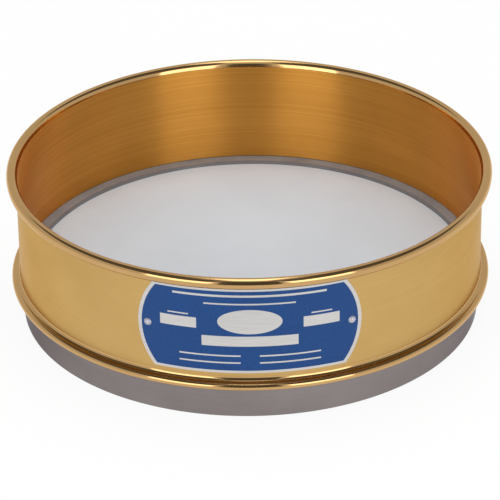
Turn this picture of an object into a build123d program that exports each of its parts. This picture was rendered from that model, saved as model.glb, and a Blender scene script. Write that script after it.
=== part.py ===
from build123d import *
from math import acos, asin, cos, degrees, radians, sin, sqrt
import os

# Test sieve, 8 inch, full height, in millimetres.
# The origin is the centre of the skirt's bottom edge, +Z is up and the nameplate faces -Y.

# ---- Driving dimensions -------------------------------------------------------------------------

# Frame: one spun brass sheet, its rim and its lower edge both curled outward.
frame_bore_d = 203.2       # inside of the wall, takes the skirt of the sieve above
frame_sheet = 0.8
cloth_depth = 50.8         # rim to cloth, full height
rim_bead_d = 4.9           # outside of the rolled rim
rim_lip_gap = 0.06         # between the rim curl's lip and the wall
shoulder_fillet = 1.8      # outside radius where the wall turns out into the shoulder
shoulder_flat = 0.2        # flat part of the shoulder, before the lower curl begins
seam_bead_d = 3.4          # height of the lower bead, which curls round the skirt's flange

# Skirt: one spun stainless ring, its top edge turned out into a flange.
nest_clearance = 0.6       # between the skirt and the bore of the sieve below, on the diameter
skirt_sheet = 0.8
skirt_drop = 17.4          # cloth's upper face down to the skirt's bottom edge
skirt_bend = 0.5           # inside radius of the bend under the flange
skirt_edge_break = 0.15    # deburred bottom edge
seam_lip_gap = 0.02        # between the lower curl's lip and the flange

# Wire cloth: 90 micrometre openings in 63 micrometre wire, two wires thick.
wire_d = 0.063
cloth_margin = 0.1         # cloth and flange end this far inside the centre of the lower curl

# Fillet that closes the corner between the cloth and the wall.
fillet_reach = 5.5         # from the wall inward, along the cloth
fillet_rise = 2.0          # from the cloth up the wall's bend
fillet_lip = 0.75          # height of its inner edge
fillet_lip_round = 0.6
fillet_toe = 0.15          # thickness where it ends, under the wall's bend

# Nameplate: a thin plate with bulged ends, bent to the wall. Lengths are measured along its face.
plate_length = 96.7        # over the bulged ends
plate_height = 40.2
plate_end_r = 33.2
plate_sheet = 0.5
plate_drop = 25.95         # rim's top to the middle of the plate
plate_gap = 0.02           # between the wall and the plate's back
border_side = 1.15         # bare metal along the long edges
border_end = 1.6           # bare metal at the bulged ends

# Enamel: fills the plate's sunk field, round bare windows and rules.
# Each is given by its place along the face, its place above the middle, its length and its height.
enamel_depth = 0.12
opening_length = 15.7      # of the window at each end
opening_inset = 10.15      # from the plate's end to that window
opening_arc = plate_length / 2 - opening_inset - opening_length / 2
number_oval = (0.0, 4.5, 27.1, 11.6)
windows = {
    "opening_left": (-opening_arc, 3.15, opening_length, 4.9),
    "opening_right": (opening_arc, 3.15, opening_length, 4.9),
    "serial": (0.0, -4.85, 40.6, 4.8),
    "title_rule": (0.0, 16.7, 65.0, 1.0),
    "subtitle_rule": (0.0, 12.9, 38.5, 0.7),
    "opening_left_rule": (-opening_arc, 7.0, 9.0, 0.6),
    "opening_right_rule": (opening_arc, 7.0, 9.0, 0.6),
    "foot_left_upper_rule": (-17.0, -11.85, 26.0, 0.7),
    "foot_left_lower_rule": (-17.0, -15.2, 26.0, 0.7),
    "foot_right_upper_rule": (17.0, -11.85, 26.0, 0.7),
    "foot_right_lower_rule": (17.0, -15.2, 26.0, 0.7),
}

# Rivets: round heads outside, tails upset flush with the inside of the wall.
rivet_end_inset = 4.4      # from the plate's end to the rivet, along the plate's face
rivet_shank_d = 1.9
rivet_head_d = 3.4
rivet_head_height = 1.0
rivet_tail_d = 2.7
rivet_tail_depth = 0.4
rivet_hole_gap = 0.05      # round the shank and the tail
rivet_head_gap = 0.01      # under the head

cutter_margin = 2.0        # how far a cutting tool runs past what it cuts

# ---- Worked-out dimensions ----------------------------------------------------------------------

height = skirt_drop + cloth_depth
cloth_z = skirt_drop
cloth_thickness = 2 * wire_d

bore_r = frame_bore_d / 2
wall_r = bore_r + frame_sheet
wall_mid_r = bore_r + frame_sheet / 2

rim_curl_r = (rim_bead_d - frame_sheet) / 2
rim_x = wall_mid_r + rim_curl_r
rim_z = height - rim_bead_d / 2
rim_lip_turn = 90 + degrees(asin((rim_x - wall_r - rim_lip_gap) / (rim_bead_d / 2)))

shoulder_bend_r = shoulder_fillet + frame_sheet / 2
shoulder_x = wall_mid_r + shoulder_bend_r
shoulder_z = cloth_z + frame_sheet + shoulder_fillet

seam_curl_r = (seam_bead_d - frame_sheet) / 2
seam_inner_r = seam_bead_d / 2 - frame_sheet
seam_x = shoulder_x + shoulder_flat
seam_z = cloth_z + frame_sheet - seam_bead_d / 2

flange_top = cloth_z - cloth_thickness
flange_bottom = flange_top - skirt_sheet
flange_r = seam_x - cloth_margin
seam_lip_turn = 180 - degrees(asin((seam_z - flange_bottom + seam_lip_gap) / seam_inner_r))

skirt_mid_r = (frame_bore_d - nest_clearance - skirt_sheet) / 2
skirt_bend_r = skirt_bend + skirt_sheet / 2

plate_back_r = wall_r + plate_gap
plate_face_r = plate_back_r + plate_sheet
enamel_floor_r = plate_face_r - enamel_depth
plate_z = height - plate_drop
rivet_arc = plate_length / 2 - rivet_end_inset
rivet_arcs = (-rivet_arc, rivet_arc)


# ---- Frames of reference on the wall ------------------------------------------------------------

def wall_angle(arc):
    """Angle about Z, in degrees from the front, of a length measured along the plate's face."""
    return degrees(arc / plate_face_r)


def outward(arc):
    """Unit vector that points straight out of the wall at that length along the plate."""
    angle = radians(wall_angle(arc))
    return Vector(sin(angle), -cos(angle), 0)


def radial_section(arc, z=0.0):
    """Plane through the Z axis, with x pointing straight out of the wall and y up."""
    out = outward(arc)
    return Plane(origin=(0, 0, z), x_dir=out, z_dir=out.cross(Vector(0, 0, 1)))


def tangent_plane(arc, z, radius):
    """Plane that touches the cylinder of that radius, with z pointing straight out."""
    out = outward(arc)
    return Plane(origin=out * radius + Vector(0, 0, z), x_dir=Vector(0, 0, 1).cross(out), z_dir=out)


# ---- Curved patches and cutters -----------------------------------------------------------------

def curved_block(inner_r, outer_r, arc, z, length, high):
    """Block bent round the Z axis: a radial section turned through the angle of its length."""
    with BuildPart() as block:
        with BuildSketch(radial_section(arc - length / 2)):
            with Locations(((inner_r + outer_r) / 2, z)):
                Rectangle(outer_r - inner_r, high)
        revolve(axis=Axis.Z, revolution_arc=wall_angle(length))
    return block.part


def end_waste(side, inner_r, outer_r, z, length, high, end_r):
    """What is cut away beyond one bulged end: a curved block less a drum set square to the wall."""
    drum_arc = side * (length / 2 - end_r)
    drum_r = plate_face_r * sin(end_r / plate_face_r)
    waste_length = end_r + cutter_margin
    bent = curved_block(inner_r - cutter_margin, outer_r + cutter_margin,
                        drum_arc + side * waste_length / 2, z, waste_length, high + cutter_margin)
    with BuildPart() as waste:
        add(bent)
        with BuildSketch(tangent_plane(drum_arc, z, inner_r - cutter_margin - drum_r)):
            Circle(drum_r)
        extrude(amount=outer_r - inner_r + 2 * drum_r, mode=Mode.SUBTRACT)
    return waste.part


def bulged_block(inner_r, outer_r, z, length, high, end_r):
    """Curved block with two bulged ends, each an arc of radius end_r."""
    bent = curved_block(inner_r, outer_r, 0, z, length + cutter_margin, high)
    wastes = [end_waste(side, inner_r, outer_r, z, length, high, end_r) for side in (-1, 1)]
    with BuildPart() as block:
        add(bent)
        add(wastes, mode=Mode.SUBTRACT)
    return block.part


def rivet_shape(arc, gap, tail_start, head_start):
    """Shank with its upset tail, turned about its own axis and grown by gap."""
    shank_r = rivet_shank_d / 2 + gap
    tail_r = rivet_tail_d / 2 + gap
    with BuildPart() as turned:
        with BuildSketch(radial_section(arc, plate_z)):
            Polygon(
                (tail_start, 0),
                (tail_start, tail_r),
                (bore_r, tail_r),
                (bore_r + rivet_tail_depth, shank_r),
                (head_start, shank_r),
                (head_start, 0),
                align=None,
            )
        revolve(axis=Axis((0, 0, plate_z), outward(arc)))
    return turned.part


# ---- Frame --------------------------------------------------------------------------------------

rivet_holes = [
    rivet_shape(arc, rivet_hole_gap, bore_r - cutter_margin, plate_face_r + cutter_margin)
    for arc in rivet_arcs
]

with BuildPart() as frame:
    with BuildSketch(Plane.XZ):
        with BuildLine():
            CenterArc((rim_x, rim_z), rim_curl_r, -rim_lip_turn, 180 + rim_lip_turn)
            Line((wall_mid_r, rim_z), (wall_mid_r, shoulder_z))
            CenterArc((shoulder_x, shoulder_z), shoulder_bend_r, 180, 90)
            Line((shoulder_x, shoulder_z - shoulder_bend_r), (seam_x, seam_z + seam_curl_r))
            CenterArc((seam_x, seam_z), seam_curl_r, 90, -90 - seam_lip_turn)
        trace(line_width=frame_sheet)
    revolve(axis=Axis.Z)
    add(rivet_holes, mode=Mode.SUBTRACT)
frame.part.label = "frame"

# ---- Skirt --------------------------------------------------------------------------------------

bend_x = skirt_mid_r + skirt_bend_r
bend_z = flange_bottom + skirt_sheet / 2 - skirt_bend_r

with BuildPart() as skirt:
    with BuildSketch(Plane.XZ):
        with BuildLine():
            Line((skirt_mid_r, 0), (skirt_mid_r, bend_z))
            CenterArc((bend_x, bend_z), skirt_bend_r, 180, -90)
            Line((bend_x, bend_z + skirt_bend_r), (flange_r, bend_z + skirt_bend_r))
        trace(line_width=skirt_sheet)
    revolve(axis=Axis.Z)
    chamfer(skirt.edges().group_by(Axis.Z)[0], length=skirt_edge_break)
skirt.part.label = "skirt"

# ---- Wire cloth ---------------------------------------------------------------------------------

with BuildPart() as wire_cloth:
    with BuildSketch(Plane.XY.offset(flange_top)):
        Circle(flange_r)
    extrude(amount=cloth_thickness)
wire_cloth.part.label = "wire_cloth"

# ---- Fillet between the cloth and the wall ------------------------------------------------------

wall_bend_r = shoulder_bend_r + frame_sheet / 2
lip_x = bore_r - fillet_reach


def on_bend(rise):
    """X of the wall's inner bend at that height over the cloth, and its angle below level."""
    drop = shoulder_z - cloth_z - rise
    return shoulder_x - sqrt(wall_bend_r ** 2 - drop ** 2), degrees(asin(drop / wall_bend_r))


toe_x, toe_angle = on_bend(fillet_toe)
top_x, top_angle = on_bend(fillet_rise)

with BuildPart() as cloth_fillet:
    with BuildSketch(Plane.XZ) as fillet_section:
        with BuildLine():
            Line((toe_x, cloth_z), (lip_x, cloth_z))
            Line((lip_x, cloth_z), (lip_x, cloth_z + fillet_lip))
            Line((lip_x, cloth_z + fillet_lip), (top_x, cloth_z + fillet_rise))
            CenterArc((shoulder_x, shoulder_z), wall_bend_r, 180 + top_angle, toe_angle - top_angle)
            Line((toe_x, cloth_z + fillet_toe), (toe_x, cloth_z))
        make_face()
        lip_corner = fillet_section.vertices().group_by(Axis.X)[0].sort_by(Axis.Y)[-1]
        fillet(lip_corner, radius=fillet_lip_round)
    revolve(axis=Axis.Z)
cloth_fillet.part.label = "cloth_fillet"

# ---- Nameplate and its enamel -------------------------------------------------------------------

enamel_field = bulged_block(
    enamel_floor_r,
    plate_face_r,
    plate_z,
    plate_length - 2 * border_end,
    plate_height - 2 * border_side,
    plate_end_r - border_end,
)
window_floor_r = enamel_floor_r - cutter_margin
window_top_r = plate_face_r + cutter_margin
window_blocks = [
    curved_block(window_floor_r, window_top_r, arc, plate_z + rise, long, high)
    for arc, rise, long, high in windows.values()
]

oval_arc, oval_rise, oval_long, oval_high = number_oval

with BuildPart() as nameplate_enamel:
    add(enamel_field)
    add(window_blocks, mode=Mode.SUBTRACT)
    with BuildSketch(tangent_plane(oval_arc, plate_z + oval_rise, plate_face_r + cutter_margin)):
        Ellipse(oval_long / 2, oval_high / 2)
    extrude(amount=-3 * cutter_margin, mode=Mode.SUBTRACT)
    add(rivet_holes, mode=Mode.SUBTRACT)
nameplate_enamel.part.label = "nameplate_enamel"

blank = bulged_block(plate_back_r, plate_face_r, plate_z, plate_length, plate_height, plate_end_r)

with BuildPart() as nameplate:
    add(blank)
    add(nameplate_enamel.part, mode=Mode.SUBTRACT)
    add(rivet_holes, mode=Mode.SUBTRACT)
nameplate.part.label = "nameplate"

# ---- Rivets -------------------------------------------------------------------------------------

head_seat_r = plate_face_r + rivet_head_gap
dome_r = ((rivet_head_d / 2) ** 2 + rivet_head_height ** 2) / (2 * rivet_head_height)
dome_angle = degrees(acos((dome_r - rivet_head_height) / dome_r))
dome_x = head_seat_r + rivet_head_height - dome_r

rivets = []
for label, arc in zip(("rivet_left", "rivet_right"), rivet_arcs):
    stem = rivet_shape(arc, 0, bore_r, head_seat_r)
    with BuildPart() as rivet:
        add(stem)
        with BuildSketch(radial_section(arc, plate_z)):
            with BuildLine():
                CenterArc((dome_x, 0), dome_r, 0, dome_angle)
                Line((head_seat_r, rivet_head_d / 2), (head_seat_r, 0))
                Line((head_seat_r, 0), (dome_x + dome_r, 0))
            make_face()
        revolve(axis=Axis((0, 0, plate_z), outward(arc)))
    rivet.part.label = label
    rivets.append(rivet.part)

# ---- Export -------------------------------------------------------------------------------------

os.makedirs("parts", exist_ok=True)
export_step(frame.part, "parts/frame.step")
export_step(skirt.part, "parts/skirt.step")
export_step(wire_cloth.part, "parts/wire_cloth.step")
export_step(cloth_fillet.part, "parts/cloth_fillet.step")
export_step(nameplate.part, "parts/nameplate.step")
export_step(nameplate_enamel.part, "parts/nameplate_enamel.step")
for rivet_part in rivets:
    export_step(rivet_part, f"parts/{rivet_part.label}.step")
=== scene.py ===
"""Dresses a packed test sieve: a spun brass wall, wire cloth, steel skirt and blue nameplate.

Sizes are millimetres on the row's axes: the origin lies in the middle of the skirt's bottom edge,
+Z runs up through the cloth and the nameplate faces -Y. Meshes are written in metres.
"""

from __future__ import annotations

import logging
import math
from dataclasses import dataclass, field, replace
from enum import Enum
from typing import Any

import bpy
import numpy as np
from mathutils import Matrix, Vector

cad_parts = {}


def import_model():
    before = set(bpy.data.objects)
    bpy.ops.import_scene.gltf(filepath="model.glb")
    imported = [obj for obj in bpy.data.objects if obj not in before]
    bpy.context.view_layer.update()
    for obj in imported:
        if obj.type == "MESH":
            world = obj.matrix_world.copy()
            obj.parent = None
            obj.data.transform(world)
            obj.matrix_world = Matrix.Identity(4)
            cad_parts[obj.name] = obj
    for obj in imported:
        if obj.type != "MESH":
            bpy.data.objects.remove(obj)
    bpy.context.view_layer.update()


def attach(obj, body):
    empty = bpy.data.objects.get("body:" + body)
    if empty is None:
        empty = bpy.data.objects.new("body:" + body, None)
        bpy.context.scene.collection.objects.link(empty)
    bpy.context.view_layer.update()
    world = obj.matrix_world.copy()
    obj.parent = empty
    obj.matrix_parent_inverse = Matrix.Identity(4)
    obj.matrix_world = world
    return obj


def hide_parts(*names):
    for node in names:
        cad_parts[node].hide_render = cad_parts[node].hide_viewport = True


LOG = logging.getLogger("test_sieve")
MM = 0.001

# Sizes that several pieces share, in millimetres.
BORE_R = 101.6
SHEET = 0.8
HEIGHT = 68.2
CLOTH_Z = 17.4
SHOULDER_FILLET = 1.8
SHOULDER_FLAT = 0.2
WIRE = 0.063
FLANGE_TOP = CLOTH_Z - 2 * WIRE

# Two points closer than this, in millimetres, are one.
SAME_POINT = 1e-6
# How far a face may turn from the wall's direction and still be shaded round, in degrees.
WALL_LEAN = 8.0
# The part of a noise's range over which a finish changes.
NOISE_SPAN = (0.34, 0.66)
# Height that the lamps face, in metres.
LAMP_AIM = 0.04

Colour = tuple[float, float, float]
Pair = tuple[float, float]


class Body(str, Enum):
    """The bodies that pieces ride on."""

    ROOT = "root"


class Side(Enum):
    """Which end of the nameplate a rivet holds, as the sign of its place along the plate."""

    LEFT = -1
    RIGHT = 1


class Grain(Enum):
    """The way in which a metal's tool marks run."""

    ROUND = "round the sieve's axis"
    ALONG = "along the piece, level with the floor"


class Output(Enum):
    """Blender's name of the output node of a material and of a world."""

    MATERIAL = "ShaderNodeOutputMaterial"
    WORLD = "ShaderNodeOutputWorld"


# ---- Section curves -------------------------------------------------------------------------


@dataclass(frozen=True)
class Arc:
    """A circular run of a section, in the plane of radius and height.

    Formula: centre + radius * (cos a, sin a), for a from start to start + turn, evenly spaced.
    """

    centre: Pair
    radius: float
    start: float
    turn: float
    steps: int

    def angles(self) -> np.ndarray:
        """Angles of the points, in radians."""
        return np.radians(np.linspace(self.start, self.start + self.turn, self.steps + 1))

    def points(self) -> np.ndarray:
        """Points of the run, one row each."""
        angles = self.angles()
        return np.array(self.centre) + self.radius * np.stack((np.cos(angles), np.sin(angles)), 1)

    def normals(self) -> np.ndarray:
        """Unit vectors to the left of travel: towards the centre where the run turns left."""
        angles = self.angles()
        return -math.copysign(1.0, self.turn) * np.stack((np.cos(angles), np.sin(angles)), 1)


@dataclass(frozen=True)
class Run:
    """A straight run of a section.

    Formula: start + t * (end - start), with t packed towards both ends so that the shading of
    a bend beside the run doesn't spread over it.
    """

    start: Pair
    end: Pair
    steps: int

    def points(self) -> np.ndarray:
        """Points of the run.

        Returns:
            One row a point, in order of travel.
        """
        t = np.linspace(0.0, 1.0, self.steps + 1)
        packed = (1.0 - np.cos(math.pi * t)) / 2.0
        start, end = np.array(self.start), np.array(self.end)
        return start + packed[:, None] * (end - start)

    def normals(self) -> np.ndarray:
        """Unit vectors to the left of travel.

        Returns:
            One row a point, the same all along the run.
        """
        along = np.array(self.end) - np.array(self.start)
        along = along / np.linalg.norm(along)
        return np.tile((-along[1], along[0]), (self.steps + 1, 1))


@dataclass(frozen=True)
class SheetSection:
    """The closed section of a sheet that is bent along a middle line of runs and arcs."""

    runs: tuple[Arc | Run, ...]
    sheet: float

    def outline(self) -> np.ndarray:
        """Both faces of the sheet: middle line + half a sheet to the right, and back on the left.

        Returns:
            The outline's points, one row each.
        """
        points = np.concatenate([run.points() for run in self.runs])
        normals = np.concatenate([run.normals() for run in self.runs])
        fresh = np.ones(len(points), bool)
        fresh[1:] = np.linalg.norm(np.diff(points, axis=0), axis=1) > SAME_POINT
        points, normals = points[fresh], normals[fresh]
        right = points - normals * self.sheet / 2
        left = points + normals * self.sheet / 2
        return np.concatenate((right, left[::-1]))


def anticlockwise(outline: np.ndarray) -> np.ndarray:
    """Turns an outline round where it runs clockwise.

    Formula: its area is half the sum of x dy - y dx, which is negative where it runs clockwise.

    Args:
        outline: Points of a closed outline, one row each.

    Returns:
        The same points, in the order that runs anticlockwise.
    """
    ahead = np.roll(outline, -1, axis=0)
    area = np.sum(outline[:, 0] * ahead[:, 1] - ahead[:, 0] * outline[:, 1]) / 2
    return outline if area >= 0 else outline[::-1]


# ---- Meshes ---------------------------------------------------------------------------------


def make_piece(name: str, points: np.ndarray, faces: np.ndarray, body: Body) -> bpy.types.Object:
    """Puts points and faces into a new mesh object that rides on a body.

    Args:
        name: Name of the piece.
        points: One row of x, y and z a point, in millimetres.
        faces: One row of point numbers a face.
        body: Body that the piece rides on.

    Returns:
        The linked object, at the origin, unturned and unscaled.
    """
    mesh = bpy.data.meshes.new(name)
    mesh.from_pydata((points * MM).tolist(), [], faces.tolist())
    mesh.validate()
    piece = bpy.data.objects.new(name, mesh)
    bpy.context.scene.collection.objects.link(piece)
    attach(piece, body.value)
    return piece


def shade(piece: bpy.types.Object, crease: float = 32.0) -> None:
    """Shades a piece smooth, and keeps its creases sharp.

    Args:
        piece: The piece.
        crease: Turn, in degrees, past which an edge stays sharp.
    """
    mesh = piece.data
    mesh.polygons.foreach_set("use_smooth", np.ones(len(mesh.polygons), bool))
    mesh.set_sharp_from_angle(angle=math.radians(crease))


@dataclass(frozen=True)
class TurnedSurface:
    """An outline carried round an axis.

    Formula: a point (r, h) of the outline stands, at angle a, at
    origin + r * (across * cos a + aside * sin a) + h * axis. The texture map holds the length
    round the axis at the outline's mean radius, and the length along the outline, in metres.
    """

    outline: np.ndarray
    around: int
    origin: tuple[float, float, float] = (0.0, 0.0, 0.0)
    axis: tuple[float, float, float] = (0.0, 0.0, 1.0)
    across: tuple[float, float, float] = (1.0, 0.0, 0.0)
    closed: bool = True

    def points(self) -> np.ndarray:
        """All points of the surface.

        Returns:
            One row a point, angle by angle.
        """
        axis, across = np.array(self.axis), np.array(self.across)
        aside = np.cross(axis, across)
        angles = np.arange(self.around) * (2 * math.pi / self.around)
        out = np.cos(angles)[:, None] * across + np.sin(angles)[:, None] * aside
        radii, heights = self.outline[:, 0], self.outline[:, 1]
        grid = radii[None, :, None] * out[:, None, :] + heights[None, :, None] * axis
        return (grid + np.array(self.origin)).reshape(-1, 3)

    def spans(self) -> tuple[np.ndarray, np.ndarray]:
        """Where each face begins.

        Returns:
            For each face, the number of its angle and that of its point on the outline.
        """
        count = len(self.outline) if self.closed else len(self.outline) - 1
        turn, step = np.meshgrid(np.arange(self.around), np.arange(count), indexing="ij")
        return turn.ravel(), step.ravel()

    def faces(self) -> np.ndarray:
        """Faces between neighbouring points.

        Returns:
            Four point numbers a face, in the order that points the face out of the outline.
        """
        count = len(self.outline)
        turn, step = self.spans()
        next_turn, next_step = (turn + 1) % self.around, (step + 1) % count
        corners = (turn, step), (next_turn, step), (next_turn, next_step), (turn, next_step)
        return np.stack([t * count + s for t, s in corners], 1)

    def map_lengths(self, piece: bpy.types.Object) -> None:
        """Writes the texture map of lengths, with no wrap at its seam.

        Args:
            piece: The piece that was made of these points and faces.
        """
        loop = np.roll(self.outline, -1, axis=0) - self.outline
        reached = np.concatenate(([0.0], np.cumsum(np.linalg.norm(loop, axis=1))))
        girth = 2 * math.pi * float(self.outline[:, 0].mean())
        turn, step = self.spans()
        corner_turns = np.stack((turn, turn + 1, turn + 1, turn), 1) / self.around
        corner_steps = np.stack((step, step, step + 1, step + 1), 1)
        lengths = np.stack((corner_turns * girth, reached[corner_steps]), 2) * MM
        layer = piece.data.uv_layers.new(name="lengths")
        layer.data.foreach_set("uv", lengths.astype(np.float32).ravel())

    def build(self, name: str, body: Body = Body.ROOT) -> bpy.types.Object:
        """Makes the piece and its texture map.

        Args:
            name: Name of the piece.
            body: Body that it rides on.

        Returns:
            The piece, shaded smooth.
        """
        piece = make_piece(name, self.points(), self.faces(), body)
        self.map_lengths(piece)
        shade(piece)
        return piece

    def finish_spans(self, piece: bpy.types.Object, numbers: np.ndarray) -> None:
        """Gives each span of the outline the finish of that number, all the way round."""
        piece.data.polygons.foreach_set("material_index", np.tile(numbers, self.around))


def copy_node(node: str, name: str, body: Body = Body.ROOT) -> bpy.types.Object:
    """Copies the mesh of a CAD node into a piece that stands for it, with its doubles merged.

    Args:
        node: Name of the CAD node.
        name: Name of the new piece.
        body: Body that it rides on.

    Returns:
        The new piece.
    """
    mesh = bpy.data.objects[node].data.copy()
    mesh.name = name
    mesh.materials.clear()
    piece = bpy.data.objects.new(name, mesh)
    bpy.context.scene.collection.objects.link(piece)
    points = np.zeros(len(mesh.vertices) * 3, np.float32)
    mesh.vertices.foreach_get("co", points)
    points = points.reshape(-1, 3)
    _, first, back = np.unique(
        np.round(points, 8), axis=0, return_index=True, return_inverse=True
    )
    corners = np.zeros(len(mesh.loops), np.int32)
    mesh.loops.foreach_get("vertex_index", corners)
    faces = back.ravel()[corners].reshape(-1, 3)
    whole = (faces[:, 0] != faces[:, 1]) & (faces[:, 1] != faces[:, 2]) & (faces[:, 0] != faces[:, 2])
    mesh.clear_geometry()
    mesh.from_pydata(points[first].tolist(), [], faces[whole].tolist())
    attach(piece, body.value)
    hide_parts(node)
    return piece


def shade_round_wall(piece: bpy.types.Object) -> None:
    """Gives every corner of a face that follows the wall the wall's own direction there.

    Formula: where a face turns by less than WALL_LEAN degrees from straight out of (or into) the
    wall, its corners' normals are (x, y, 0) over their length, with that face's sign. Every
    other face stays flat.

    Args:
        piece: The piece, with faces of three corners.
    """
    mesh = piece.data
    normals = np.zeros(len(mesh.polygons) * 3, np.float32)
    mesh.polygons.foreach_get("normal", normals)
    corners = np.zeros(len(mesh.loops), np.int32)
    mesh.loops.foreach_get("vertex_index", corners)
    points = np.zeros(len(mesh.vertices) * 3, np.float32)
    mesh.vertices.foreach_get("co", points)
    out = points.reshape(-1, 3)[corners] * (1.0, 1.0, 0.0)
    out = out / np.linalg.norm(out, axis=1)[:, None]
    flat = np.repeat(normals.reshape(-1, 3), 3, axis=0)
    facing = np.sum(flat * out, axis=1)
    follows = np.abs(facing) > math.cos(math.radians(WALL_LEAN))
    chosen = np.where(follows[:, None], out * np.sign(facing)[:, None], flat)
    mesh.polygons.foreach_set("use_smooth", np.ones(len(mesh.polygons), bool))
    mesh.normals_split_custom_set(chosen.tolist())


# ---- Finishes -------------------------------------------------------------------------------


class Graph:
    """The nodes of one material or world, with short calls that make and join them."""

    def __init__(self, owner: bpy.types.Material | bpy.types.World, output: Output) -> None:
        """Clears the owner's nodes, and starts it with only its output node.

        Args:
            owner: Material or world that holds the nodes.
            output: Kind of its output node.
        """
        owner.use_nodes = True
        self.tree = owner.node_tree
        self.tree.nodes.clear()
        self.output = self.node(output.value)

    def node(self, kind: str, inputs: dict[str | int, Any] | None = None, **settings: Any) -> Any:
        """Makes a node.

        Args:
            kind: Blender's name of the node type.
            inputs: Values or output sockets for its inputs, by socket name or number.
            **settings: The node's own settings.

        Returns:
            The node.
        """
        made = self.tree.nodes.new(kind)
        for key, value in settings.items():
            setattr(made, key, value)
        for key, value in (inputs or {}).items():
            if isinstance(value, bpy.types.NodeSocket):
                self.tree.links.new(value, made.inputs[key])
            else:
                made.inputs[key].default_value = value
        return made

    def math(self, operation: str, first: Any, second: Any = 0.0) -> Any:
        """Output of a Math node on two values or sockets."""
        made = self.node("ShaderNodeMath", {0: first, 1: second}, operation=operation)
        return made.outputs[0]

    def ramp(self, factor: Any, low: float, high: float, start: float = 0.0, end: float = 1.0) -> Any:
        """Carries a factor in start..end to a value in low..high.

        Args:
            factor: Socket with the factor.
            low: Value at start.
            high: Value at end.
            start: Factor at which the change begins.
            end: Factor at which it is complete.

        Returns:
            The output socket.
        """
        values = {0: factor, 1: start, 2: end, 3: low, 4: high}
        return self.node("ShaderNodeMapRange", values).outputs[0]

    def blend(self, factor: Any, first: Colour, second: Colour) -> Any:
        """Carries a factor to a colour between two.

        Args:
            factor: Socket with the factor.
            first: Colour where the factor is 0.
            second: Colour where it is 1.

        Returns:
            The colour's output socket.
        """
        made = self.node("ShaderNodeMix", data_type="RGBA")
        self.tree.links.new(factor, made.inputs[0])
        made.inputs[6].default_value = (*first, 1.0)
        made.inputs[7].default_value = (*second, 1.0)
        return made.outputs[2]

    def noise(self, vector: Any, scale: float, detail: float = 3.0, rough: float = 0.55) -> Any:
        """Factor of a Noise texture, in about 0.3 to 0.7."""
        values = {"Vector": vector, "Scale": scale, "Detail": detail, "Roughness": rough}
        return self.node("ShaderNodeTexNoise", values).outputs[0]

    def stretch(self, scale: tuple[float, float, float]) -> Any:
        """Object coordinates, in metres, times a scale for each axis."""
        place = self.node("ShaderNodeTexCoord").outputs["Object"]
        return self.node("ShaderNodeMapping", {"Vector": place, "Scale": scale}).outputs[0]

    def grain(self, way: Grain, along: float, across: float) -> Any:
        """Coordinates on which a noise makes tool marks.

        Args:
            way: The way in which the marks run.
            along: How fast the noise changes along a mark, in turns a metre.
            across: How fast it changes from mark to mark, in turns a metre.

        Returns:
            The vector socket. Round the axis it is x and y by along, and the length over the
            section by across, so that it has no seam.
        """
        if way is Grain.ALONG:
            return self.stretch((along, along, across))
        place = self.node("ShaderNodeTexCoord").outputs["Object"]
        lengths = self.node("ShaderNodeUVMap", uv_map="lengths").outputs[0]
        flat = self.node("ShaderNodeSeparateXYZ", {0: place})
        over = self.node("ShaderNodeSeparateXYZ", {0: lengths})
        parts = {
            0: self.math("MULTIPLY", flat.outputs[0], along),
            1: self.math("MULTIPLY", flat.outputs[1], along),
            2: self.math("MULTIPLY", over.outputs[1], across),
        }
        return self.node("ShaderNodeCombineXYZ", parts).outputs[0]

    def bump(self, height: Any, strength: float, distance: float) -> Any:
        """Normal bent by a height, with the height's unit given in metres."""
        values = {"Height": height, "Strength": strength, "Distance": distance}
        return self.node("ShaderNodeBump", values).outputs[0]

    def seen(self) -> Any:
        """Tells the rays that show a surface or the background from those that only light.

        Returns:
            An output socket, 1 for camera, glossy and transmission rays and 0 for the others.
        """
        path = self.node("ShaderNodeLightPath").outputs
        through = self.math("MAXIMUM", path["Is Glossy Ray"], path["Is Transmission Ray"])
        return self.math("MAXIMUM", path["Is Camera Ray"], through)

    def surface(self, shader: Any) -> None:
        """Joins a shader node to the output."""
        self.tree.links.new(shader.outputs[0], self.output.inputs["Surface"])


def new_material(name: str) -> tuple[bpy.types.Material, Graph]:
    """Starts a material of that name, and the graph of its nodes.

    Args:
        name: Name of the material.

    Returns:
        The material and its graph.
    """
    material = bpy.data.materials.new(name)
    return material, Graph(material, Output.MATERIAL)


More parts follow.
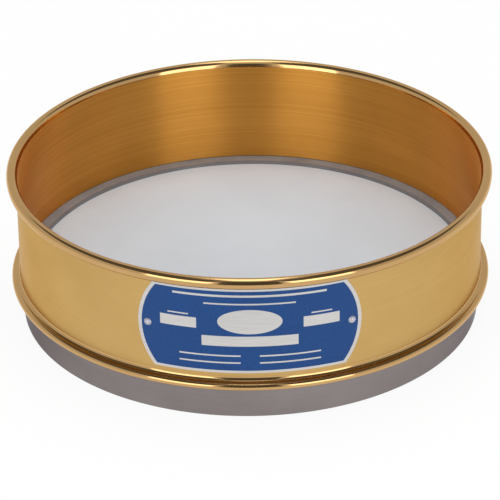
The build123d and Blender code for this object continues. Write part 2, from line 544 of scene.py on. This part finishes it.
@dataclass(frozen=True)
class MetalFinish:
    """A metal with tool marks, cloudy colour and a roughness that changes with both.

    The marks' length and pitch and the clouds' size are given in turns of the noise a metre, and
    the marks' height in metres. Lacquer is the weight of a clear coat, and edge is the colour
    that the metal takes at a glancing angle.
    """

    name: str
    slot: str
    light: Colour
    dark: Colour
    rough_low: float
    rough_high: float
    way: Grain = Grain.ROUND
    mark_length: float = 6.0
    mark_pitch: float = 2200.0
    mark_height: float = 0.000004
    cloud_size: float = 26.0
    cloud_share: float = 0.5
    anisotropy: float = 0.0
    anisotropy_turn: float = 0.25
    lacquer: float = 0.0
    lacquer_roughness: float = 0.12
    edge: Colour = (1.0, 1.0, 1.0)
    metallic: float = 1.0

    def build(self) -> bpy.types.Material:
        """Builds the node material: clouds tint it, marks roughen it and lift its surface.

        Returns:
            The material.
        """
        material, graph = new_material(self.name)
        clouds = graph.noise(graph.stretch((1.0, 1.0, 1.6)), self.cloud_size, 4.0, 0.6)
        marks = graph.noise(graph.grain(self.way, self.mark_length, self.mark_pitch), 1.0, 2.0)
        shares = (1.0 - self.cloud_share, self.cloud_share)
        mixed = graph.math(
            "ADD",
            graph.math("MULTIPLY", marks, shares[0]),
            graph.math("MULTIPLY", clouds, shares[1]),
        )
        values: dict[str | int, Any] = {
            "Base Color": graph.blend(graph.ramp(mixed, 0.0, 1.0, *NOISE_SPAN), self.dark, self.light),
            "Metallic": self.metallic,
            "Roughness": graph.ramp(mixed, self.rough_high, self.rough_low, *NOISE_SPAN),
            "Normal": graph.bump(marks, 0.5, self.mark_height),
            "Coat Weight": self.lacquer,
            "Coat Roughness": self.lacquer_roughness,
            "Specular Tint": (*self.edge, 1.0),
        }
        if self.anisotropy > 0.0:
            tangent = graph.node("ShaderNodeTangent", direction_type="UV_MAP", uv_map="lengths")
            values["Anisotropic"] = self.anisotropy
            values["Anisotropic Rotation"] = self.anisotropy_turn
            values["Tangent"] = tangent.outputs[0]
        graph.surface(graph.node("ShaderNodeBsdfPrincipled", values))
        return material


@dataclass(frozen=True)
class WovenWire:
    """Fine wire cloth: two crossed rows of wires, seen as an even grey from a step away."""

    name: str
    slot: str
    wire: Colour
    gap: Colour
    pitch: float
    wire_height: float
    roughness: float
    gloss: float = 0.2
    cloud_size: float = 34.0
    cloud_depth: float = 0.12

    def build(self) -> bpy.types.Material:
        """Builds the weave: the higher of two sines, of x and of y, over the wires' pitch.

        Returns:
            The material.
        """
        material, graph = new_material(self.name)
        place = graph.node("ShaderNodeTexCoord").outputs["Object"]
        parts = graph.node("ShaderNodeSeparateXYZ", {0: place})
        turns = 2 * math.pi / (self.pitch * MM)
        rows = [
            graph.math("SINE", graph.math("MULTIPLY", parts.outputs[axis], turns))
            for axis in (0, 1)
        ]
        weave = graph.ramp(graph.math("MAXIMUM", *rows), 0.0, 1.0, -1.0, 1.0)
        clouds = graph.noise(graph.stretch((1.0, 1.0, 1.0)), self.cloud_size, 3.0)
        swell = graph.ramp(clouds, -self.cloud_depth, self.cloud_depth, 0.3, 0.7)
        values = {
            "Base Color": graph.blend(graph.math("ADD", weave, swell), self.gap, self.wire),
            "Roughness": self.roughness,
            "Specular IOR Level": self.gloss,
            "Normal": graph.bump(weave, 0.25, self.wire_height * MM),
        }
        graph.surface(graph.node("ShaderNodeBsdfPrincipled", values))
        return material


@dataclass(frozen=True)
class Enamel:
    """Hard enamel with a faint grain in its surface and a clear gloss."""

    name: str
    slot: str
    light: Colour
    deep: Colour
    rough_low: float
    rough_high: float
    gloss: float = 0.3
    cloud_size: float = 60.0
    grain_size: float = 900.0
    grain_height: float = 0.000005

    def build(self) -> bpy.types.Material:
        """Builds the enamel: slow clouds tint it, and a fine noise makes its gloss uneven.

        Returns:
            The material.
        """
        material, graph = new_material(self.name)
        clouds = graph.noise(graph.stretch((1.0, 1.0, 1.0)), self.cloud_size, 3.0)
        grain = graph.noise(graph.stretch((1.0, 1.0, 1.0)), self.grain_size, 2.0)
        values = {
            "Base Color": graph.blend(graph.ramp(clouds, 0.0, 1.0, 0.35, 0.65), self.deep, self.light),
            "Roughness": graph.ramp(grain, self.rough_low, self.rough_high, 0.35, 0.65),
            "Specular IOR Level": self.gloss,
            "Normal": graph.bump(grain, 0.05, self.grain_height),
        }
        graph.surface(graph.node("ShaderNodeBsdfPrincipled", values))
        return material


# Colours are linear. A metal's light colour comes before its dark one, then its lowest and its
# highest roughness.
BRASS_EDGE = (0.90, 0.74, 0.52)
STEEL_EDGE = (0.50, 0.48, 0.49)
POLISHED_BRASS = MetalFinish(
    "polished_brass", "brass", (0.60, 0.37, 0.150), (0.54, 0.325, 0.125), 0.07, 0.13,
    mark_pitch=1500.0, mark_height=0.000002, cloud_share=0.7, lacquer=0.4, edge=BRASS_EDGE,
)
SATIN_BRASS = MetalFinish(
    "satin_brass", "brass", (0.60, 0.39, 0.145), (0.55, 0.35, 0.125), 0.30, 0.38,
    mark_pitch=1500.0, mark_height=0.000002, cloud_share=0.7, edge=BRASS_EDGE,
)
BRUSHED_BRASS = MetalFinish(
    "brushed_brass", "brass", (0.84, 0.400, 0.080), (0.74, 0.335, 0.055), 0.42, 0.50,
    mark_length=4.0, mark_pitch=2600.0, mark_height=0.000008, cloud_share=0.3, anisotropy=1.0,
    lacquer=0.05,
)
SATIN_STEEL = MetalFinish(
    "satin_steel", "skirt_steel", (0.280, 0.247, 0.243), (0.215, 0.190, 0.186), 0.26, 0.38,
    mark_pitch=1500.0, mark_height=0.000003, cloud_size=14.0, cloud_share=0.8, edge=STEEL_EDGE,
)
GREY_SOLDER = MetalFinish(
    "grey_solder", "fillet_metal", (0.375, 0.388, 0.410), (0.250, 0.257, 0.275), 0.36, 0.52,
    mark_pitch=260.0, mark_length=40.0, mark_height=0.00006, cloud_size=60.0, cloud_share=0.7,
    metallic=0.3,
)
# A darker copy of the grey solder, laid on the fillet's lip beside the cloth as painted shade.
PAINTED_SHADE_SOLDER = replace(
    GREY_SOLDER, name="dull_solder", light=(0.225, 0.232, 0.245), dark=(0.175, 0.180, 0.192)
)
BARE_ALUMINIUM = MetalFinish(
    "bare_aluminium", "plate_metal", (0.66, 0.645, 0.63), (0.56, 0.545, 0.535), 0.26, 0.38,
    way=Grain.ALONG, mark_length=90.0, mark_pitch=3200.0, mark_height=0.000004, cloud_share=0.3,
)
BRIGHT_ALUMINIUM = MetalFinish(
    "bright_aluminium", "rivet_metal", (0.50, 0.50, 0.56), (0.40, 0.40, 0.45), 0.30, 0.44,
    mark_length=300.0, mark_pitch=900.0, mark_height=0.000008, cloud_size=420.0, cloud_share=0.6,
    metallic=0.5,
)
WOVEN_STEEL = WovenWire(
    "woven_steel", "cloth_steel", (0.660, 0.700, 0.742), (0.505, 0.532, 0.562),
    pitch=0.153, wire_height=0.05, roughness=0.8,
)
HARD_ENAMEL = Enamel(
    "hard_enamel", "plate_enamel", (0.0012, 0.048, 0.192), (0.0010, 0.043, 0.178), 0.26, 0.31,
)


def dress(piece: bpy.types.Object, *finishes: MetalFinish | WovenWire | Enamel) -> None:
    """Gives a piece its finishes.

    Args:
        piece: The piece, or a CAD node that stays.
        *finishes: The finishes, in the order of the piece's material numbers.
    """
    piece.data.materials.clear()
    for finish in finishes:
        ready = bpy.data.materials.get(finish.name)
        piece.data.materials.append(ready or finish.build())


# ---- Sub-assemblies -------------------------------------------------------------------------


@dataclass
class Wall:
    """The spun brass frame: a rolled rim, the wall, a shoulder and the lower curl."""

    bore_r: float = BORE_R
    sheet: float = SHEET
    height: float = HEIGHT
    cloth_z: float = CLOTH_Z
    rim_bead: float = 4.9
    rim_lip_gap: float = 0.06
    flare_r: float = 6.5
    flare_turn: float = 24.0
    satin_lean: float = 0.0001
    brushed_lean: float = 0.16
    shoulder_fillet: float = SHOULDER_FILLET
    shoulder_flat: float = SHOULDER_FLAT
    seam_bead: float = 3.4
    seam_lip_gap: float = 0.02
    around: int = 288
    pieces: list[bpy.types.Object] = field(default_factory=list)

    @property
    def mid_r(self) -> float:
        """Radius of the middle of the sheet, along the wall."""
        return self.bore_r + self.sheet / 2

    def rim(self) -> tuple[Arc | Run, ...]:
        """The rolled rim, from its lip to the wall.

        Formula: the curl's radius lets its outside and the flare's foot lie one bead width apart.

        Returns:
            The curl's lower arc, its outer side, its upper arc, and the wider arc of the flare.
        """
        turn, half = math.radians(self.flare_turn), self.sheet / 2
        lean = self.flare_r * (1 - math.cos(turn))
        curl_r = (self.rim_bead - self.sheet - lean) / (1 + math.cos(turn))
        curl_x = self.bore_r + self.rim_bead - half - curl_r
        low = (curl_x, self.height - self.rim_bead + half + curl_r)
        top = (curl_x, self.height - half - curl_r)
        flare = (self.mid_r + self.flare_r, top[1] - (self.flare_r - curl_r) * math.sin(turn))
        reach = curl_x - self.bore_r - self.sheet - self.rim_lip_gap
        lip_turn = 90 + math.degrees(math.asin(reach / (curl_r + half)))
        return (
            Arc(low, curl_r, -lip_turn, lip_turn, 32),
            Run((low[0] + curl_r, low[1]), (top[0] + curl_r, top[1]), 2),
            Arc(top, curl_r, 0, 180 - self.flare_turn, 36),
            Arc(flare, self.flare_r, 180 - self.flare_turn, self.flare_turn, 16),
        )

    def section(self) -> SheetSection:
        """The sheet's section, from the rim's lip over the rim and down to the lower lip.

        Formula: the lower curl turns on until the inner corner of its lip lies seam_lip_gap under
        the skirt's flange.

        Returns:
            The section.
        """
        rim = self.rim()
        wall_top = rim[-1].centre[1]
        bend_r = self.shoulder_fillet + self.sheet / 2
        bend = (self.mid_r + bend_r, self.cloth_z + self.sheet + self.shoulder_fillet)
        seam_r = (self.seam_bead - self.sheet) / 2
        seam = (bend[0] + self.shoulder_flat, self.cloth_z + self.sheet - self.seam_bead / 2)
        lip_z = FLANGE_TOP - SHEET - self.seam_lip_gap
        drop = (seam[1] - lip_z) / (self.seam_bead / 2 - self.sheet)
        lip_turn = 180 - math.degrees(math.asin(drop))
        return SheetSection(
            (
                *rim,
                Run((self.mid_r, wall_top), (self.mid_r, bend[1]), 14),
                Arc(bend, bend_r, 180, 90, 12),
                Run((bend[0], bend[1] - bend_r), (seam[0], seam[1] + seam_r), 2),
                Arc(seam, seam_r, 90, -90 - lip_turn, 44),
            ),
            self.sheet,
        )

    def build(self) -> bpy.types.Object:
        """Turns the section, and gives its straight wall a satin outside and a brushed bore.

        Formula: a span takes a wall's finish where both its ends lie less than a lean from that
        wall's radius. The lean of the brushing lets it run into the flare's foot.

        Returns:
            The frame, which stands for the CAD node of that name.
        """
        outline = anticlockwise(self.section().outline())
        surface = TurnedSurface(outline, self.around)
        piece = surface.build("brass_frame")
        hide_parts("frame")
        dress(piece, POLISHED_BRASS, SATIN_BRASS, BRUSHED_BRASS)
        ahead = np.roll(outline, -1, axis=0)
        numbers = np.zeros(len(outline), np.int32)
        outside = (1, self.bore_r + self.sheet, self.satin_lean)
        inside = (2, self.bore_r, self.brushed_lean)
        for number, radius, lean in (outside, inside):
            off = np.maximum(np.abs(outline[:, 0] - radius), np.abs(ahead[:, 0] - radius))
            numbers[off < lean] = number
        surface.finish_spans(piece, numbers)
        self.pieces.append(piece)
        return piece


@dataclass
class Skirt:
    """The steel skirt that nests in the sieve below, with its flange turned out under the cloth."""

    nest_gap: float = 0.3
    sheet: float = SHEET
    bend: float = 0.5
    edge_break: float = 0.15
    flange_margin: float = 0.1
    flange_top: float = FLANGE_TOP
    around: int = 256
    pieces: list[bpy.types.Object] = field(default_factory=list)

    def build(self) -> bpy.types.Object:
        """Turns the section: up the skirt, round the bend and out along the flange.

        Formula: the flange ends flange_margin inside the centre of the frame's lower curl.

        Returns:
            The skirt, which stands for the CAD node of that name.
        """
        outside_r = BORE_R - self.nest_gap
        flange_r = BORE_R + SHEET + SHOULDER_FILLET + SHOULDER_FLAT - self.flange_margin
        mid_r = outside_r - self.sheet / 2
        bend_r = self.bend + self.sheet / 2
        bend = (mid_r + bend_r, self.flange_top - self.sheet / 2 - bend_r)
        section = SheetSection(
            (
                Run((mid_r, self.edge_break), (mid_r, bend[1]), 10),
                Arc(bend, bend_r, 180, -90, 12),
                Run((bend[0], bend[1] + bend_r), (flange_r, bend[1] + bend_r), 3),
            ),
            self.sheet,
        )
        inside_r = outside_r - self.sheet
        edge = np.array([(inside_r + self.edge_break, 0), (outside_r - self.edge_break, 0)])
        outline = anticlockwise(np.concatenate((section.outline(), edge)))
        piece = TurnedSurface(outline, self.around).build("steel_skirt")
        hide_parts("skirt")
        dress(piece, SATIN_STEEL)
        self.pieces.append(piece)
        return piece


@dataclass
class ClothAndFillet:
    """The wire cloth, and the grey fillet that closes its corner with the wall."""

    bore_r: float = BORE_R
    wall_bend_r: float = SHOULDER_FILLET + SHEET
    shoulder_z: float = CLOTH_Z + SHEET + SHOULDER_FILLET
    cloth_z: float = CLOTH_Z
    reach: float = 5.2
    rise: float = 1.6
    lip: float = 1.15
    lip_round: float = 0.35
    toe: float = 0.15
    # Width, from the fillet's lip, of the band that takes the darker solder copy as painted shade.
    painted_shade_band: float = 1.3
    around: int = 256
    pieces: list[bpy.types.Object] = field(default_factory=list)

    def on_bend(self, rise: float) -> Pair:
        """Finds a point on the inner side of the wall's bend.

        Args:
            rise: Its height over the cloth.

        Returns:
            Its radius, and its angle below level as seen from the bend's centre.
        """
        drop = self.shoulder_z - self.cloth_z - rise
        across = math.sqrt(self.wall_bend_r**2 - drop**2)
        return self.bore_r + self.wall_bend_r - across, math.degrees(math.asin(drop / self.wall_bend_r))

    def outline(self) -> np.ndarray:
        """Section of the fillet: flat below, round at its lip, sloping up to the wall's bend.

        Formula: the lip's round touches the upright inner edge and the slope, so its centre lies
        lip_round * tan((90 - slope) / 2) under the height at which the two would meet.

        Returns:
            The outline's points, one row each.
        """
        lip_x = self.bore_r - self.reach
        bend = (self.bore_r + self.wall_bend_r, self.shoulder_z)
        top_x, top_angle = self.on_bend(self.rise)
        toe_x, toe_angle = self.on_bend(self.toe)
        slope = math.atan2(self.rise - self.lip, top_x - lip_x)
        cut = self.lip_round * math.tan((math.pi / 2 - slope) / 2)
        round_centre = (lip_x + self.lip_round, self.cloth_z + self.lip - cut)
        start = (
            round_centre[0] - self.lip_round * math.sin(slope),
            round_centre[1] + self.lip_round * math.cos(slope),
        )
        runs = (
            Run((lip_x, self.cloth_z), (lip_x, round_centre[1]), 2),
            Arc(round_centre, self.lip_round, 180, math.degrees(slope) - 90, 10),
            Run(start, (top_x, self.cloth_z + self.rise), 8),
            Arc(bend, self.wall_bend_r, 180 + top_angle, toe_angle - top_angle, 10),
        )
        points = np.concatenate([run.points() for run in runs])
        points = np.concatenate((points, [(toe_x, self.cloth_z)]))
        fresh = np.linalg.norm(points - np.roll(points, 1, axis=0), axis=1) > SAME_POINT
        return anticlockwise(points[fresh])

    def build(self) -> None:
        """Turns the fillet and dresses both pieces. The cloth keeps its CAD solid."""
        outline = self.outline()
        surface = TurnedSurface(outline, self.around)
        fillet = surface.build("grey_fillet")
        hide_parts("cloth_fillet")
        dress(fillet, GREY_SOLDER, PAINTED_SHADE_SOLDER)
        # The band at the lip, beside the cloth, takes the darker copy of the solder: painted shade.
        edge = self.bore_r - self.reach + self.painted_shade_band
        in_painted_shade = np.maximum(outline[:, 0], np.roll(outline, -1, axis=0)[:, 0]) < edge
        surface.finish_spans(fillet, in_painted_shade.astype(np.int32))
        cloth = bpy.data.objects["wire_cloth"]
        dress(cloth, WOVEN_STEEL)
        self.pieces += [fillet, cloth]


@dataclass
class Nameplate:
    """The bent plate, the enamel in its sunk field, and the two rivets that hold it."""

    bore_r: float = BORE_R
    back_gap: float = 0.02
    sheet: float = 0.5
    drop: float = 25.95
    length: float = 96.7
    rivet_inset: float = 4.4
    head_r: float = 1.7
    head_height: float = 1.0
    head_gap: float = 0.01
    tail_r: float = 1.35
    tail_proud: float = 0.06
    tail_length: float = 0.3
    around: int = 48
    pieces: list[bpy.types.Object] = field(default_factory=list)

    @property
    def face_r(self) -> float:
        """Radius of the plate's face."""
        return self.bore_r + SHEET + self.back_gap + self.sheet

    def rivet_outline(self) -> np.ndarray:
        """Outline of a rivet, by its radius and its distance from the sieve's axis.

        Formula: a spherical head over head_r, a shank through the wall and a low crowned tail
        on the bore.

        Returns:
            The outline's points, from the middle of the tail to the middle of the head.
        """
        seat = self.face_r + self.head_gap
        dome_r = (self.head_r**2 + self.head_height**2) / (2 * self.head_height)
        half = math.degrees(math.asin(self.head_r / dome_r))
        head = Arc((0.0, seat + self.head_height - dome_r), dome_r, 90 - half, half, 14).points()
        crown_r = (self.tail_r**2 + self.tail_proud**2) / (2 * self.tail_proud)
        spread = math.degrees(math.asin(self.tail_r / crown_r))
        tail = Arc((0.0, self.bore_r - self.tail_proud + crown_r), crown_r, 270, spread, 8).points()
        shank = [(self.tail_r, self.bore_r + self.tail_length), (self.tail_r, seat)]
        outline = np.concatenate((tail, shank, head))
        outline[0, 0] = outline[-1, 0] = 0.0
        return outline

    def build_rivet(self, side: Side) -> bpy.types.Object:
        """Turns one rivet about its own axis, straight out of the wall.

        Args:
            side: The plate's end that it holds.

        Returns:
            The rivet, which stands for its CAD node.
        """
        angle = side.value * (self.length / 2 - self.rivet_inset) / self.face_r
        out = (math.sin(angle), -math.cos(angle), 0.0)
        across = (math.cos(angle), math.sin(angle), 0.0)
        middle = (0.0, 0.0, HEIGHT - self.drop)
        name = side.name.lower()
        surface = TurnedSurface(
            self.rivet_outline(), self.around, middle, out, across, closed=False
        )
        piece = surface.build(f"plate_rivet_{name}")
        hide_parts(f"rivet_{name}")
        dress(piece, BRIGHT_ALUMINIUM)
        return piece

    def build(self) -> None:
        """Copies the plate and its enamel with round shading, and adds the rivets."""
        plate = copy_node("nameplate", "bent_plate")
        enamel = copy_node("nameplate_enamel", "blue_enamel")
        for piece, finish in ((plate, BARE_ALUMINIUM), (enamel, HARD_ENAMEL)):
            shade_round_wall(piece)
            dress(piece, finish)
        self.pieces += [plate, enamel, *(self.build_rivet(side) for side in Side)]


# ---- Studio ---------------------------------------------------------------------------------


@dataclass(frozen=True)
class Softbox:
    """A lamp panel that faces the sieve.

    Its azimuth is counted from the camera's side, and its distance and sides are in metres.
    """

    azimuth: float
    elevation: float
    distance: float
    width: float
    height: float
    radiance: float
    mirrored: bool = True

    def build(self, number: int) -> None:
        """Places the lamp so that it faces the sieve.

        Args:
            number: Number in the lamp's name.
        """
        lamp = bpy.data.lights.new(f"softbox_{number}", "AREA")
        lamp.shape = "RECTANGLE"
        lamp.size, lamp.size_y = self.width, self.height
        lamp.energy = self.radiance * math.pi * self.width * self.height
        panel = bpy.data.objects.new(lamp.name, lamp)
        bpy.context.scene.collection.objects.link(panel)
        turn, rise = math.radians(self.azimuth), math.radians(self.elevation)
        way = Vector(
            (math.sin(turn) * math.cos(rise), -math.cos(turn) * math.cos(rise), math.sin(rise))
        )
        panel.location = way * self.distance + Vector((0.0, 0.0, LAMP_AIM))
        panel.rotation_euler = (-way).to_track_quat("-Z", "Y").to_euler()
        panel.visible_camera = False
        panel.visible_glossy = self.mirrored


@dataclass(frozen=True)
class Card:
    """A dark or bright card that the camera doesn't see, and that shows only in the metal.

    Formula: a point at azimuth a (from the camera's side) and elevation e stands at
    distance * (sin a cos e, -cos a cos e, sin e), in metres.
    """

    distance: float
    azimuths: Pair
    elevations: Pair
    level: float
    steps: int = 48

    def build(self, number: int) -> None:
        """Bends the card round the sieve.

        Args:
            number: Number in the card's name.
        """
        turn, rise = np.meshgrid(
            np.radians(np.linspace(*self.azimuths, self.steps + 1)),
            np.radians(np.linspace(*self.elevations, self.steps + 1)),
            indexing="ij",
        )
        out = np.stack((np.sin(turn) * np.cos(rise), -np.cos(turn) * np.cos(rise), np.sin(rise)), 2)
        count = self.steps + 1
        first = (np.arange(self.steps)[:, None] * count + np.arange(self.steps)).ravel()
        faces = np.stack((first, first + 1, first + count + 1, first + count), 1)
        mesh = bpy.data.meshes.new(f"card_{number}")
        mesh.from_pydata((out.reshape(-1, 3) * self.distance).tolist(), [], faces.tolist())
        card = bpy.data.objects.new(mesh.name, mesh)
        bpy.context.scene.collection.objects.link(card)
        card.visible_camera = card.visible_diffuse = card.visible_shadow = False
        material, graph = new_material(mesh.name)
        graph.surface(graph.node("ShaderNodeEmission", {"Strength": self.level}))
        mesh.materials.append(material)


@dataclass
class Studio:
    """The pale floor, the lamps, the cards, the world and the camera.

    The camera's distance, its aim beside the axis (aside) and over the floor (raised), its lens
    and its sensor are in millimetres. Its clip, the floor, the softboxes and the cards are in
    metres.
    """

    lens: float = 229.1
    sensor: float = 36.0
    distance: float = 1417.5
    elevation: float = 28.9
    roll: float = -0.69
    azimuth: float = 0.25
    aside: float = -0.02
    raised: float = 24.09
    clip: Pair = (0.05, 50.0)
    floor_size: float = 6.0
    floor_grey: float = 0.9
    floor_glow: float = 0.92
    world_level: float = 0.85
    softboxes: tuple[Softbox, ...] = (
        Softbox(-31.0, 15.0, 1.3, 0.64, 0.7, 2.6),
        Softbox(31.0, 15.0, 1.3, 0.64, 0.7, 2.6),
        Softbox(0.0, 94.0, 0.9, 0.6, 0.6, 2.1, mirrored=False),
        Softbox(0.0, 98.0, 0.88, 0.18, 0.62, 2.2),
    )
    cards: tuple[Card, ...] = (
        Card(0.36, (-12.0, 12.0), (0.5, 52.0), 0.10),
        Card(2.2, (-146.0, -18.0), (36.0, 78.0), 0.13),
        Card(2.2, (18.0, 146.0), (36.0, 78.0), 0.13),
        Card(2.3, (-180.0, 180.0), (0.5, 43.0), 0.72),
        Card(1.2, (-43.0, -19.5), (2.0, 31.0), 3.0),
        Card(1.2, (19.5, 43.0), (2.0, 31.0), 3.0),
    )

    def build_camera(self) -> None:
        """Places the camera on its own three directions: right, up and backward, after its roll."""
        rise, roll, turn = (math.radians(a) for a in (self.elevation, self.roll, self.azimuth))
        forward = np.array((0.0, math.cos(rise), -math.sin(rise)))
        right, up = np.array((1.0, 0.0, 0.0)), np.array((0.0, math.sin(rise), math.cos(rise)))
        rolled_right = right * math.cos(roll) + up * math.sin(roll)
        rolled_up = up * math.cos(roll) - right * math.sin(roll)
        place = np.array((self.aside, 0.0, self.raised)) - forward * self.distance
        matrix = Matrix.Identity(4)
        for row in range(3):
            matrix[row][:] = (rolled_right[row], rolled_up[row], -forward[row], place[row] * MM)
        camera = bpy.data.cameras.new("camera")
        camera.lens, camera.sensor_width = self.lens, self.sensor
        camera.clip_start, camera.clip_end = self.clip
        holder = bpy.data.objects.new("camera", camera)
        bpy.context.scene.collection.objects.link(holder)
        holder.matrix_world = Matrix.Rotation(turn, 4, "Z") @ matrix
        bpy.context.scene.camera = holder

    def build_floor(self) -> None:
        """Lays a white floor whose shadow stays faint where it is seen."""
        half = self.floor_size / 2
        corners = [(-half, -half, 0.0), (half, -half, 0.0), (half, half, 0.0), (-half, half, 0.0)]
        mesh = bpy.data.meshes.new("floor")
        mesh.from_pydata(corners, [], [(0, 1, 2, 3)])
        floor = bpy.data.objects.new("floor", mesh)
        bpy.context.scene.collection.objects.link(floor)
        material, graph = new_material("floor_white")
        matt = graph.node("ShaderNodeBsdfDiffuse", {"Color": (*[self.floor_grey] * 3, 1.0)})
        glow = graph.node("ShaderNodeEmission", {"Strength": 1.0})
        share = graph.math("MULTIPLY", graph.seen(), self.floor_glow)
        shaders = {0: share, 1: matt.outputs[0], 2: glow.outputs[0]}
        graph.surface(graph.node("ShaderNodeMixShader", shaders))
        mesh.materials.append(material)

    def build_world(self) -> None:
        """Fills the world with a soft white light that is a little stronger where it is seen."""
        world = bpy.data.worlds.new("studio")
        bpy.context.scene.world = world
        graph = Graph(world, Output.WORLD)
        level = graph.ramp(graph.seen(), self.world_level, 1.0)
        graph.surface(graph.node("ShaderNodeBackground", {"Strength": level}))

    def build(self) -> None:
        """Builds the whole studio."""
        self.build_camera()
        self.build_floor()
        self.build_world()
        for number, stand in enumerate((*self.softboxes, *self.cards)):
            stand.build(number)
        bpy.context.scene.view_settings.view_transform = "Standard"


# ---- Main -----------------------------------------------------------------------------------


def main() -> None:
    """Loads the frame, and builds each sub-assembly and the studio."""
    logging.basicConfig(level=logging.INFO, format="%(name)s: %(message)s")
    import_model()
    for assembly in (Wall(), Skirt(), ClothAndFillet(), Nameplate()):
        assembly.build()
        for piece in assembly.pieces:
            LOG.info("%s: %s, %d faces", type(assembly).__name__, piece.name, len(piece.data.polygons))
    Studio().build()


if __name__ == "__main__":
    main()
